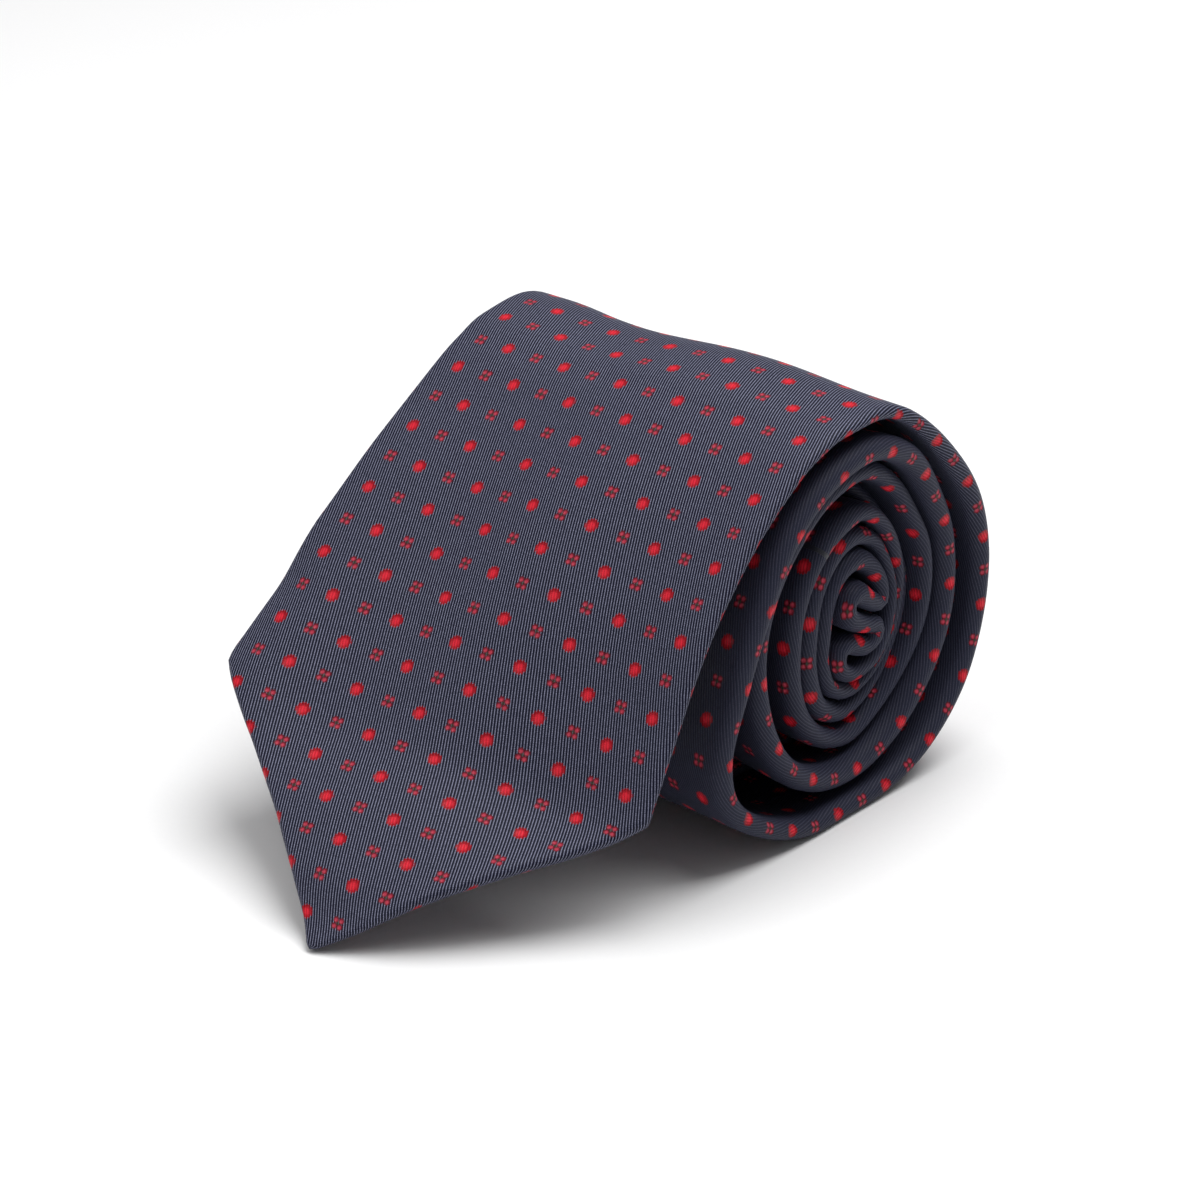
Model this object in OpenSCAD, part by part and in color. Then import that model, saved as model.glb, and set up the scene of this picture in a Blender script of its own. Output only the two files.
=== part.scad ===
// A necktie, doubled in half and rolled up, resting on a flat surface.
// +X runs along the roll's axis, +Z is up, and the blade's point lies towards -Y.

/* [Tie] */
// Width of the blade at its corners, fold to fold
blade_w = 90; // [88:1:100]
// Width of the neck, where the tie is doubled
neck_w = 38; // [34:1:42]
// Width of the tail at its corners
tail_w = 45; // [40:1:50]
// Thickness of the folded blade
blade_t = 2.2; // [1.8:0.1:2.3]
// Thickness of the folded neck and tail
tail_t = 1.9; // [1.6:0.1:2]
// Thickness of the silk
silk_t = 0.4; // [0.3:0.05:0.5]

/* [Making up] */
// Distance from the blade's point to the bar tack
blade_tack_at = 108; // [100:1:112]
// Distance from the tail's point to its bar tack
tail_tack_at = 62; // [55:1:80]
// Distance from the blade's point to the seam between blade and neck
blade_seam_at = 640; // [600:5:680]
// Distance from the blade's point to the seam between neck and tail
tail_seam_at = 905; // [880:5:960]
// Distance from the blade's point to the keeper loop
keeper_at = 198; // [192:1:202]
// Length of the keeper loop across the tie
keeper_l = 50; // [40:1:56]
// Width of the keeper loop along the tie
keeper_w = 9; // [7:1:10]
// Distance from the blade's point to the label
label_at = 164; // [158:1:166]
// Length of the label across the tie
label_l = 42; // [30:1:48]
// Width of the label along the tie
label_w = 24; // [18:1:26]

/* [Roll] */
// Distance from the blade's point to the line where the free flap starts to lift
flap_l = 121; // [120:0.5:122]
// How far the tail's side edge sits inside the roll's flush face
tail_inset = 23; // [18:1:26]

/* [Hidden] */

navy = [0.16, 0.17, 0.23];
lining = [0.12, 0.13, 0.18];
wool = [0.86, 0.84, 0.78];
thread = [0.14, 0.15, 0.2];

// The middle of the tie's thickness, seen along +X, for a blade 85 mm wide: the free flap from
// the point to the top, the blade's turns clockwise to the core, and the tail's turns back out.
design_w = 85;
flap_route = [
    [-63.9, 1], [-60.1, 3.8], [-55.6, 8], [-50.4, 11.5], [-44.9, 14.6], [-39.2, 17.4],
    [-33.4, 20.6], [-28.7, 24.8], [-24.2, 29.5], [-19.7, 34.2], [-15.3, 38.9], [-6.1, 48],
    [3.6, 56.5], [13.9, 64], [19.6, 67.1], [25.7, 69.2]
];
blade_route = [
    [38, 69.2], [49, 61.6], [57.5, 51], [62.2, 39.5], [62.7, 27.5], [59, 17], [52, 8.8], [43, 3.2],
    [32, 1], [18, 1], [5.5, 5.2], [-3, 12.2], [-5.2, 21.5], [-2, 32.5], [2.6, 44.5], [9.5, 55.2],
    [20, 62.4], [31.8, 64.4], [42, 59.6], [49.2, 50.8], [53.8, 42], [54.8, 32.5], [52.5, 24],
    [47.2, 16.2], [40, 10], [31, 6.9], [21, 8], [12, 13.6], [6.8, 22.5], [5.6, 33.2], [7.7, 43.5],
    [13.2, 51.8], [21.8, 57.9], [32, 59.4], [39.6, 54.9], [45.2, 47.3], [48.6, 40.5], [49.3, 33],
    [47.8, 26], [44, 20], [38.2, 15], [31, 11.8], [23.6, 14], [18.4, 19.6], [16.2, 26.5],
    [16.3, 33.5], [17.6, 39.5], [20.8, 45.4], [26, 50.2]
];
core_route = [
    [32.3, 52.2], [38, 48.8], [42.2, 42.5], [44.2, 35.5], [43.2, 28], [38.8, 22.4], [32.4, 20.2],
    [26.6, 22.6], [24.2, 28], [24.4, 33.8], [26, 39], [29.4, 42.6], [33.4, 43.5], [37.2, 41.2],
    [39.3, 37.6], [39.3, 34.4], [37.2, 33.7], [34.4, 35.6], [31.6, 38], [29, 37.6], [28.9, 35],
    [31.4, 32.9], [34.8, 31.6], [37.1, 31], [37.3, 28.6], [35, 27.4], [32.5, 28.3], [30, 29.3],
    [27.6, 28.6], [27.4, 26], [29.2, 23.8], [32.6, 22.8], [37.4, 24.2], [40.8, 28.7], [42, 35],
    [40.1, 41.2], [37, 45.8]
];
tail_route = [
    [32.4, 47.4], [26.8, 45.4], [22.4, 40.6], [20.8, 33.8], [21, 27], [24.2, 19.8], [31.2, 16],
    [38.6, 18.6], [43.6, 24.4], [46.4, 30.5], [46.6, 38], [43.4, 46], [38.8, 52.2], [32, 56],
    [23.2, 54.6], [15.4, 48], [10.4, 38.6], [9.4, 29.5], [11.4, 20.5], [18.6, 12.4], [31, 9.3],
    [42.8, 15.2], [48.2, 21.8], [51.9, 30], [51.6, 38.5], [47.6, 48.4], [41, 57], [31.8, 61.9],
    [20.9, 60.2], [11.4, 53.4], [5.2, 44], [1.8, 33.4], [0.4, 23], [3.4, 13.6], [13, 5.8],
    [24, 3.9], [34, 4], [44.4, 7.6], [52.6, 15], [57.2, 24], [58.6, 33.5], [56.8, 43.2],
    [51.2, 53.2], [43, 62], [31.8, 67.1], [22.5, 65.7], [15, 62]
];
// How much a row of the cloth leans in Y and in Z per unit of X, by distance from the point
flap_lean = [[0, 0.02, 0.02], [12, 0.075, 0.02], [19, 0.125, -0.016], [26, 0.148, -0.055],
    [39, 0.162, -0.112], [47, 0.125, -0.085], [60, 0.067, -0.046], [74, 0, 0],
    [95, -0.046, 0.035], [108, -0.055, 0.039], [122, -0.052, 0.028], [160, 0, 0]];
// How far the flap's middle lies to the side, by distance from the point
flap_sway = [[0, 5.4], [5, 4], [12, 3.1], [26, 1.5], [33, 0.6], [40, 0], [60, -0.4],
    [88, -0.3], [108, 0.1], [122, 0.4], [160, 0]];

centre_y = 0.07;
scale_k = blade_w / design_w;
design_route = concat(flap_route, blade_route, core_route, tail_route);
route = [for (p = design_route) [p[0] + centre_y, p[1]] * scale_k];
fit = 0.05;
seam_w = 0.5;
step_l = 4.6;

// A smooth curve through the route's points, flat where it meets the ground
function spline(p, q, r, s, t) = 0.5 * (2 * q + (r - p) * t + (2 * p - 5 * q + 4 * r - s) * t * t
    + (3 * q - p - 3 * r + s) * t * t * t);
function parts_of(q, r) = norm(r - q) < 7 ? 3 : ceil(norm(r - q) / step_l);
function grounded(p) = [p[0], max(p[1], blade_t / 2)];
last = len(route) - 1;
line = [
    for (i = [0 : last - 1]) let (m = parts_of(route[i], route[i + 1])) for (j = [0 : m - 1])
        grounded(spline(route[max(i - 1, 0)], route[i], route[i + 1], route[min(i + 2, last)], j / m)),
    route[last]
];
dist = [
    for (i = 0, d = 0; i < len(line); i = i + 1,
        d = i < len(line) ? d + norm(line[i] - line[i - 1]) : d) d
];
line_y = [for (i = [0 : len(line) - 1]) [dist[i], line[i][0]]];
line_z = [for (i = [0 : len(line) - 1]) [dist[i], line[i][1]]];
lean_y = [for (r = flap_lean) [r[0], r[1]]];
lean_z = [for (r = flap_lean) [r[0], r[2]]];
tie_l = dist[len(dist) - 1];
point_l = blade_w / 2;
tail_point_l = tail_w / 2;
core_s = 775;
cut_w = 0.2;

// Width, side edge and thickness of the folded tie at distance s from the blade's point
width_table = [[point_l, blade_w], [130, blade_w - 3], [520, 62], [730, neck_w + 3], [800, neck_w],
    [960, neck_w], [tie_l - tail_point_l, tail_w]];
edge_table = [[130, 0], [360, 0.8], [545, 3.6], [680, 5], [core_s, 3.5], [840, 4.8], [905, 6.5],
    [960, 14], [1100, 20], [tie_l - tail_point_l, tail_inset]];
thick_table = [[0, 1], [12, blade_t], [700, blade_t], [735, tail_t], [tie_l - 8, tail_t], [tie_l, 1]];
function body_w(s) = lookup(s, width_table);
edge_start = [[130, blade_w / 2 - 1.5], [180, blade_w / 2]];
function right_x(s) = s < 130 ? body_w(s) / 2 : lookup(s, edge_start) - lookup(s, edge_table);
// The point lies a little to the right of the blade's middle
point_off = [[0, 0.5], [5, 2], [10, 2.7], [20, 3.1], [30, 2.3], [40, 0.6], [point_l, 0]];
function mid_x(s) = s < point_l ? lookup(s, point_off) : right_x(s) - body_w(s) / 2;
function half_w(s) = min(body_w(s) / 2, s + 1.2, tie_l - s + 1.2);
function half_t(s) = lookup(s, thick_table) / 2;

// Half the gap between the turned hems at the back, which closes at each bar tack
slit = 0.15;
function hem_gap(e, corner, hem, tack) = e < corner ? max(slit, e - hem)
    : max(slit, (corner - hem) * (tack - e) / (tack - corner));
function back_gap(s) = s < tie_l / 2 ? hem_gap(s, point_l, 14, blade_tack_at - 3)
    : hem_gap(tie_l - s, tail_point_l, 10, tail_tack_at - 3);

// A point of the section at s: x across the tie, n out of its front face
function heading(s) = let (v = [lookup(s + 0.4, line_y) - lookup(s - 0.4, line_y),
    lookup(s + 0.4, line_z) - lookup(s - 0.4, line_z)]) v / norm(v);
function place(s, x, n) = let (v = heading(s))
    [x + lookup(s, flap_sway), lookup(s, line_y) - v[1] * n + lookup(s, lean_y) * x,
        lookup(s, line_z) + v[0] * n + lookup(s, lean_z) * x];
function stations(s0, s1) = concat([s0], [for (d = dist) if (d > s0 + 0.5 && d < s1 - 0.5) d], [s1]);

// The folded silk's section: front, rounded side folds, and two hems that meet at the back
function shell_section(s) = let (c = mid_x(s), w = half_w(s), a = half_t(s), e = min(0.9 * a, w / 3),
    g = min(back_gap(s), w - e - 0.2), t = min(silk_t, 0.7 * a)) [
    [c - g, -a], [c - w + e, -a], [c - w, 0], [c - w + e, a], [c + w - e, a], [c + w, 0],
    [c + w - e, -a], [c + g, -a], [c + g, t - a], [c + w - e, t - a], [c + w - t, 0],
    [c + w - e, a - t], [c - w + e, a - t], [c - w + t, 0], [c - w + e, t - a], [c - g, t - a]
];
function strip_section(s, x0, x1, n0, n1) = [[x0, n0], [x0, n1], [x1, n1], [x1, n0]];
function placed(s, section) = [for (p = section) place(s, p[0], p[1])];

// A solid through a row of sections with the same number of points each, listed along one side
// of the section's wall and back along the other
module loft(rows) {
    m = len(rows[0]);
    k = len(rows);
    // Each quad is split on the diagonal that climbs towards +X, so that facing layers stay parallel
    sides = [for (i = [0 : k - 2]) for (j = [0 : m - 1]) let (a = i * m + j, b = i * m + (j + 1) % m)
        each rows[0][j][0] < rows[0][(j + 1) % m][0] ? [[a, b + m, b], [a, a + m, b + m]]
            : [[a, a + m, b], [a + m, b + m, b]]];
    ends = [for (j = [0 : m / 2 - 2]) each [[j, j + 1, m - 2 - j], [j, m - 2 - j, m - 1 - j]]];
    far = (k - 1) * m;
    caps = concat(ends, [for (f = ends) [f[2] + far, f[1] + far, f[0] + far]]);
    polyhedron([for (r = rows) each r], concat(sides, caps), convexity = 10);
}

module silk(s0, s1) color(navy) loft([for (s = stations(s0, s1)) placed(s, shell_section(s))]);

// The interlining hangs a little clear of the hems where the flap is twisted
hem_slack = [[150, 0.25], [165, 0]];
module interlining(s0, s1)
    color(wool) loft([for (s = stations(s0, s1))
        let (c = mid_x(s), a = half_t(s), w = half_w(s) - 1.1 * a, n = a - min(silk_t, 0.7 * a) - fit)
        placed(s, strip_section(s, c - w, c + w, lookup(s, hem_slack) - n, n))]);

// A thin sheet between the hems, from s0 to s1
module tipping(s0, s1)
    color(lining) loft([for (s = stations(s0, s1))
        let (c = mid_x(s), g = min(back_gap(s), half_w(s) - half_t(s) - 0.2) - fit, a = half_t(s))
        placed(s, strip_section(s, c - g, c + g, -a + 0.02, -a + 0.24))]);

// A flat patch on the back of the tie, d0 to d1 below the back surface
module patch(s0, l, w, d0, d1)
    loft([for (s = stations(s0, s0 + w)) let (c = mid_x(s), a = half_t(s))
        placed(s, strip_section(s, c - l / 2, c + l / 2, -a - d1, -a - d0))]);

module blade_shell_flap() silk(0, flap_l - cut_w);
module blade_interlining_flap() interlining(5, flap_l - cut_w);
module blade_tipping() tipping(17, blade_tack_at - 6);
module blade_bar_tack() color(thread) patch(blade_tack_at, 7, 1.2, 0.02, 0.5);

module blade_shell_roll() silk(flap_l + cut_w, blade_seam_at - seam_w);
module blade_interlining_roll() interlining(flap_l + cut_w, 700);
module neck_shell() silk(blade_seam_at + seam_w, tail_seam_at - seam_w);
module tail_shell() silk(tail_seam_at + seam_w, tie_l);
module tail_interlining() interlining(700.4, tie_l - 5);
module tail_tipping() tipping(tie_l - tail_tack_at + 6, tie_l - 13);
module tail_bar_tack() color(thread) patch(tie_l - tail_tack_at, 6, 1.2, 0.02, 0.4);

// One loose thread in the slit between the hems, from the blade's bar tack to the tail's
module slip_stitch()
    color(thread) loft([for (s = stations(flap_l + 2, tie_l - tail_tack_at - 2))
        let (c = mid_x(s), a = half_t(s)) placed(s, strip_section(s, c - 0.1, c + 0.1, -a, -a + 0.3))]);

// A band across the back of the blade, sewn down at both ends, that the tail can slide through
module keeper_loop()
    color(navy) loft([for (s = stations(keeper_at, keeper_at + keeper_w))
        let (c = mid_x(s), b = -half_t(s) - 0.03, o = keeper_l / 2, i = o - 3)
        placed(s, [[c - i, b], [c - i, b - 0.3], [c + i, b - 0.3], [c + i, b], [c + o, b],
            [c + o, b - 0.8], [c - o, b - 0.8], [c - o, b]])]);
module keeper_loop_stitches()
    color(thread) for (side = [-1, 1])
        loft([for (s = [keeper_at + 1 : 2.3 : keeper_at + keeper_w - 1])
            let (x = mid_x(s) + side * (keeper_l / 2 - 1.5), b = -half_t(s) - 0.85)
            placed(s, strip_section(s, x - 0.3, x + 0.3, b - 0.3, b))]);

module label_blank() color(lining) patch(label_at, label_l, label_w, 0.02, 0.3);
module label_stitches()
    color(thread) for (side = [-1, 1])
        loft([for (s = stations(label_at + 1, label_at + label_w - 1))
            let (x = mid_x(s) + side * (label_l / 2 - 1.5), b = -half_t(s) - 0.32)
            placed(s, strip_section(s, x - 0.15, x + 0.15, b - 0.2, b))]);
module care_label() color([0.8, 0.8, 0.8]) patch(tie_l - tail_tack_at - 34, 16, 12, 0.02, 0.17);

// The sewn joins, each a thin ring of thread between two lengths of silk
module blade_neck_seam() color(thread) silk_ring(blade_seam_at);
module neck_tail_seam() color(thread) silk_ring(tail_seam_at);
module silk_ring(s)
    loft([for (d = [s - seam_w + fit, s, s + seam_w - fit]) placed(d, shell_section(s))]);

blade_shell_flap();
blade_interlining_flap();
blade_tipping();
blade_bar_tack();
blade_shell_roll();
blade_interlining_roll();
neck_shell();
tail_shell();
tail_interlining();
tail_tipping();
tail_bar_tack();
slip_stitch();
keeper_loop();
keeper_loop_stitches();
label_blank();
label_stitches();
care_label();
blade_neck_seam();
neck_tail_seam();
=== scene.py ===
"""A silk necktie, doubled and rolled up, with the blade's pointed end draped off the roll.

Every piece of cloth is lofted along one centre line, the tie's own, in fabric coordinates:
s runs along the tie from the blade's point, x across it and n out of its front face.
Lengths are in millimetres here and become metres where a mesh is made.
"""
import math

import bpy
import mathutils
import numpy as np
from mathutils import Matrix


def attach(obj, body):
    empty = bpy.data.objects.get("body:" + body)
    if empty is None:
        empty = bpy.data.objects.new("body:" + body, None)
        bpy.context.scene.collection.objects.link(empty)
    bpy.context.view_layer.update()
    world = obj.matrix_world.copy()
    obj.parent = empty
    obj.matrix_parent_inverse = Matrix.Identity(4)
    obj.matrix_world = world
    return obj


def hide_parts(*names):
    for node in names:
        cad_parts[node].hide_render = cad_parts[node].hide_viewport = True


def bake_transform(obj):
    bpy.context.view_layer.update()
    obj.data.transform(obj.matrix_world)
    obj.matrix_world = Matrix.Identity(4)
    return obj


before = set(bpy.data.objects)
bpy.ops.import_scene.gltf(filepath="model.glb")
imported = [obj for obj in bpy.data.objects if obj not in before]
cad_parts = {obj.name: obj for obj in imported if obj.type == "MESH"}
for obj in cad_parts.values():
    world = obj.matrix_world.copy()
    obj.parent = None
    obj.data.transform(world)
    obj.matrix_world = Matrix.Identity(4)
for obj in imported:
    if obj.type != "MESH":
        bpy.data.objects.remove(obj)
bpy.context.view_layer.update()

MM = 0.001

# ---------------------------------------------------------------- camera

camera_data = bpy.data.cameras.new("camera")
camera_data.lens = 120.0
camera_data.sensor_width = 36.0
camera_data.clip_start = 0.01
camera_data.clip_end = 20.0
camera = bpy.data.objects.new("camera", camera_data)
camera.location = (0.4175, -0.4719, 0.3334)
bpy.context.collection.objects.link(camera)
bpy.context.scene.camera = camera


def aim(obj, forward):
    """Turns a camera or light to look along forward, with its top upwards."""
    obj.rotation_euler = mathutils.Vector(forward).to_track_quat("-Z", "Y").to_euler()


aim(camera, (-0.592, 0.686, -0.424))

# ---------------------------------------------------------------- the tie's own line

BLADE_W = 90.0
NECK_W = 38.0
TAIL_W = 45.0
BLADE_T = 2.2
TAIL_T = 1.9
SILK_T = 0.4
BLADE_TACK = 108.0
TAIL_TACK = 62.0
BLADE_SEAM = 640.0
TAIL_SEAM = 905.0
KEEPER_AT, KEEPER_L, KEEPER_W = 198.0, 50.0, 9.0
LABEL_AT, LABEL_L, LABEL_W = 164.0, 42.0, 24.0
FRONT_END = 234.0      # where the front length of silk meets the rest, under the roll
INTERLINING_JOIN = 700.0
BLADE_HEM, TAIL_HEM = 14.0, 10.0
VISIBLE_BLADE_W = BLADE_W - 3  # the cloth's waves and rounded folds take up the rest
SCALE_K = BLADE_W / 85.0
CENTRE_Y = 0.07

ROUTE = [
    # the free flap, from the point to the top
    (-63.9, 1), (-60.1, 3.8), (-55.6, 8), (-50.4, 11.5), (-44.9, 14.6), (-39.2, 17.4),
    (-33.4, 20.6), (-28.7, 24.8), (-24.2, 29.5), (-19.7, 34.2), (-15.3, 38.9), (-6.1, 48),
    (3.6, 56.5), (13.9, 64), (19.6, 67.1), (25.7, 69.2),
    # the blade's turns
    (38, 69.2), (49, 61.6), (57.5, 51), (62.2, 39.5), (62.7, 27.5), (59, 17), (52, 8.8), (43, 3.2),
    (32, 1), (18, 1), (5.5, 5.2), (-3, 12.2), (-5.2, 21.5), (-2, 32.5), (2.6, 44.5), (9.5, 55.2),
    (20, 62.4), (31.8, 64.4), (42, 59.6), (49.2, 50.8), (53.8, 42), (54.8, 32.5), (52.5, 24),
    (47.2, 16.2), (40, 10), (31, 6.9), (21, 8), (12, 13.6), (6.8, 22.5), (5.6, 33.2), (7.7, 43.5),
    (13.2, 51.8), (21.8, 57.9), (32, 59.4), (39.6, 54.9), (45.2, 47.3), (48.6, 40.5), (49.3, 33),
    (47.8, 26), (44, 20), (38.2, 15), (31, 11.8), (23.6, 14), (18.4, 19.6), (16.2, 26.5),
    (16.3, 33.5), (17.6, 39.5), (20.8, 45.4), (26, 50.2),
    # the core
    (32.3, 52.2), (38, 48.8), (42.2, 42.5), (44.2, 35.5), (43.2, 28), (38.8, 22.4), (32.4, 20.2),
    (26.6, 22.6), (24.2, 28), (24.4, 33.8), (26, 39), (29.4, 42.6), (33.4, 43.5), (37.2, 41.2),
    (39.3, 37.6), (39.3, 34.4), (37.2, 33.7), (34.4, 35.6), (31.6, 38), (29, 37.6), (28.9, 35),
    (31.4, 32.9), (34.8, 31.6), (37.1, 31), (37.3, 28.6), (35, 27.4), (32.5, 28.3), (30, 29.3),
    (27.6, 28.6), (27.4, 26), (29.2, 23.8), (32.6, 22.8), (37.4, 24.2), (40.8, 28.7), (42, 35),
    (40.1, 41.2), (37, 45.8),
    # the tail's turns, back outwards
    (32.4, 47.4), (26.8, 45.4), (22.4, 40.6), (20.8, 33.8), (21, 27), (24.2, 19.8), (31.2, 16),
    (38.6, 18.6), (43.6, 24.4), (46.4, 30.5), (46.6, 38), (43.4, 46), (38.8, 52.2), (32, 56),
    (23.2, 54.6), (15.4, 48), (10.4, 38.6), (9.4, 29.5), (11.4, 20.5), (18.6, 12.4), (31, 9.3),
    (42.8, 15.2), (48.2, 21.8), (51.9, 30), (51.6, 38.5), (47.6, 48.4), (41, 57), (31.8, 61.9),
    (20.9, 60.2), (11.4, 53.4), (5.2, 44), (1.8, 33.4), (0.4, 23), (3.4, 13.6), (13, 5.8),
    (24, 3.9), (34, 4), (44.4, 7.6), (52.6, 15), (57.2, 24), (58.6, 33.5), (56.8, 43.2),
    (51.2, 53.2), (43, 62), (31.8, 67.1), (22.5, 65.7), (15, 62),
]
FINE = 4               # fine steps of the line in each of the CAD's own


def centre_line():
    """Distances and points of the CAD's line, with the curve between its points filled in."""
    pts = (np.array(ROUTE, float) + (CENTRE_Y, 0.0)) * SCALE_K
    coarse, fine, steps = [], [], []
    last = len(pts) - 1
    for i in range(last):
        p, q, r, t = pts[max(i - 1, 0)], pts[i], pts[i + 1], pts[min(i + 2, last)]
        length = np.linalg.norm(r - q)
        m = 3 if length < 7 else math.ceil(length / 4.6)
        for j in range(m * FINE):
            u = j / (m * FINE)
            v = 0.5 * (2 * q + (r - p) * u + (2 * p - 5 * q + 4 * r - t) * u * u
                       + (3 * q - p - 3 * r + t) * u ** 3)
            v[1] = max(v[1], BLADE_T / 2)
            fine.append(v)
            if j % FINE == 0:
                steps.append(len(fine) - 1)
                coarse.append(v)
    fine.append(pts[last])
    coarse.append(pts[last])
    steps.append(len(fine) - 1)
    fine, coarse = np.array(fine), np.array(coarse)
    gaps = np.linalg.norm(np.diff(coarse, axis=0), axis=1)
    dist = np.concatenate([[0.0], np.cumsum(gaps)])
    return np.interp(np.arange(len(fine)), steps, dist), fine


LINE_S, LINE = centre_line()
TIE_L = float(LINE_S[-1])
TANGENT = np.gradient(LINE, axis=0)
for _ in range(3):
    TANGENT[1:-1] = (TANGENT[:-2] + 2 * TANGENT[1:-1] + TANGENT[2:]) / 4
TANGENT /= np.linalg.norm(TANGENT, axis=1)[:, None]


def table(rows, column=1):
    """A lookup of one column by distance along the tie."""
    xs = [r[0] for r in rows]
    ys = [r[column] for r in rows]
    return lambda s: np.interp(s, xs, ys)


FLAP_LEAN = [(0, 0.02, 0.02), (12, 0.075, 0.02), (19, 0.125, -0.016), (26, 0.148, -0.055),
             (39, 0.162, -0.112), (47, 0.125, -0.085), (60, 0.067, -0.046), (74, 0, 0),
             (95, -0.046, 0.035), (108, -0.055, 0.039), (122, -0.052, 0.028), (160, 0, 0)]
FLAP_SWAY = [(0, 5.4), (5, 4), (12, 3.1), (26, 1.5), (33, 0.6), (40, 0), (60, -0.4), (88, -0.3),
             (108, 0.1), (122, 0.4), (160, 0)]


def eased_table(rows, column=1, reach=9.0):
    """The same lookup with its corners rounded off over a few millimetres either way."""
    steps = np.arange(-reach, reach + 0.1, 1.5)
    weights = 1 + np.cos(steps * math.pi / (reach + 1.5))
    plain = table(rows, column)
    return lambda s: sum(w * plain(np.asarray(s, float) + d)
                         for w, d in zip(weights, steps)) / weights.sum()


lean_y = eased_table(FLAP_LEAN, 1)
lean_z = eased_table(FLAP_LEAN, 2)
sway = eased_table(FLAP_SWAY, 1, 5.0)
body_w = table([(BLADE_W / 2, VISIBLE_BLADE_W), (130, VISIBLE_BLADE_W), (520, 62),
                (730, NECK_W + 3),
                (800, NECK_W), (960, NECK_W), (TIE_L - TAIL_W / 2, TAIL_W)])
edge_inset = table([(130, 0), (360, 0.8), (545, 3.6), (680, 5), (775, 3.5), (840, 4.8), (905, 6.5),
                    (960, 14), (1100, 20), (TIE_L - TAIL_W / 2, 23)])
edge_start = table([(130, BLADE_W / 2 - 1.5), (180, BLADE_W / 2)])
thickness = table([(0, 1), (12, BLADE_T), (700, BLADE_T), (735, TAIL_T), (TIE_L - 8, TAIL_T),
                   (TIE_L, 1)])


def right_x(s):
    """Where the tie's right fold is: flush in the outer turns, a little inside further in."""
    wander = 0.45 * np.sin(s / 17.0 + 0.6) + 0.3 * np.sin(s / 7.9)
    fade = np.clip((s - 150) / 60, 0, 1)
    return np.where(s < 130, body_w(s) / 2, edge_start(s) - edge_inset(s)) + wander * fade


# the point lies a little to the right of the blade's middle
point_off = table([(0, 0.5), (5, 2), (10, 2.7), (20, 3.1), (30, 2.3), (40, 0.6), (BLADE_W / 2, 0)])


def mid_x(s):
    return np.where(s < BLADE_W / 2, point_off(s), right_x(s) - body_w(s) / 2)


def half_w(s):
    return np.minimum(np.minimum(body_w(s) / 2, s + 1.2), TIE_L - s + 1.2)


def half_t(s):
    return thickness(s) / 2


def hem_gap(e, corner, hem, tack):
    """Half the gap between the turned hems at the back, at a distance e from a point."""
    return np.where(e < corner, np.maximum(0.15, e - hem),
                    np.maximum(0.15, (corner - hem) * (tack - e) / (tack - corner)))


def back_gap(s):
    return np.where(s < TIE_L / 2, hem_gap(s, BLADE_W / 2, BLADE_HEM, BLADE_TACK - 3),
                    hem_gap(TIE_L - s, TAIL_W / 2, TAIL_HEM, TAIL_TACK - 3))


def smooth(t):
    t = np.clip(t, 0.0, 1.0)
    return t * t * (3 - 2 * t)


CORNER_CURL = 2.4      # how far the left corner curls under
FLAP_WAVE, POINT_WAVE, TOP_WAVE = 0.7, 0.4, 0.7


def relief(s, x):
    """The cloth's soft waves out of its plane on the free flap, in millimetres."""
    body = smooth((s - 14) / 26) * (1 - 0.85 * smooth((s - 78) / 40))
    near_point = smooth(s / 10) * (1 - smooth((s - 16) / 22))
    waves = (FLAP_WAVE * body * np.cos(2 * np.pi * (x - 4) / 44)
             + POINT_WAVE * near_point * np.cos(2 * np.pi * (x + 8) / 52))
    # a shallow dip and rise along the roll's top
    top = smooth((s - 108) / 16) * (1 - smooth((s - 150) / 20)) * smooth((x + 40) / 15)
    waves = waves + TOP_WAVE * top * np.cos(2 * np.pi * (x - 14) / 62)
    # the left corner curls under
    corner = smooth((s - 20) / 14) * (1 - smooth((s - 56) / 16))
    return waves - CORNER_CURL * corner * np.clip((-31 - x) / 12, 0, 1.2) ** 2


def place(s, x, n):
    """Points of the tie in space, in millimetres, from rows s and sections (x, n)."""
    y = np.interp(s, LINE_S, LINE[:, 0])
    z = np.interp(s, LINE_S, LINE[:, 1])
    ty = np.interp(s, LINE_S, TANGENT[:, 0])
    tz = np.interp(s, LINE_S, TANGENT[:, 1])
    size = np.hypot(ty, tz)
    out = n + relief(s, x)
    return np.stack([x + sway(s), y - tz / size * out + lean_y(s) * x,
                     z + ty / size * out + lean_z(s) * x], axis=-1)


FREE_ROOM = 12.0       # as far as a neighbouring layer is looked for
LAYER_GAP = 0.04       # left between two soft folds that nearly touch


def room_beside():
    """How far the next layer's middle is from each point of the line, outwards and inwards,
    counting only layers that come out about as far at the right."""
    normal = np.stack([-TANGENT[:, 1], TANGENT[:, 0]], axis=1)
    far = right_x(LINE_S)
    out_room = np.full(len(LINE), FREE_ROOM)
    in_room = np.full(len(LINE), FREE_ROOM)
    for i in range(len(LINE)):
        d = LINE - LINE[i]
        along = d @ TANGENT[i]
        away = d @ normal[i]
        near = (np.abs(along) < 1.3) & (np.abs(LINE_S - LINE_S[i]) > 8) & (far > far[i] - 11)
        for sign, store in ((1, out_room), (-1, in_room)):
            side = near & (away * sign > 0.3)
            if side.any():
                store[i] = min(FREE_ROOM, float(np.min(away[side] * sign)))
    return out_room, in_room


OUT_ROOM, IN_ROOM = room_beside()


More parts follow.
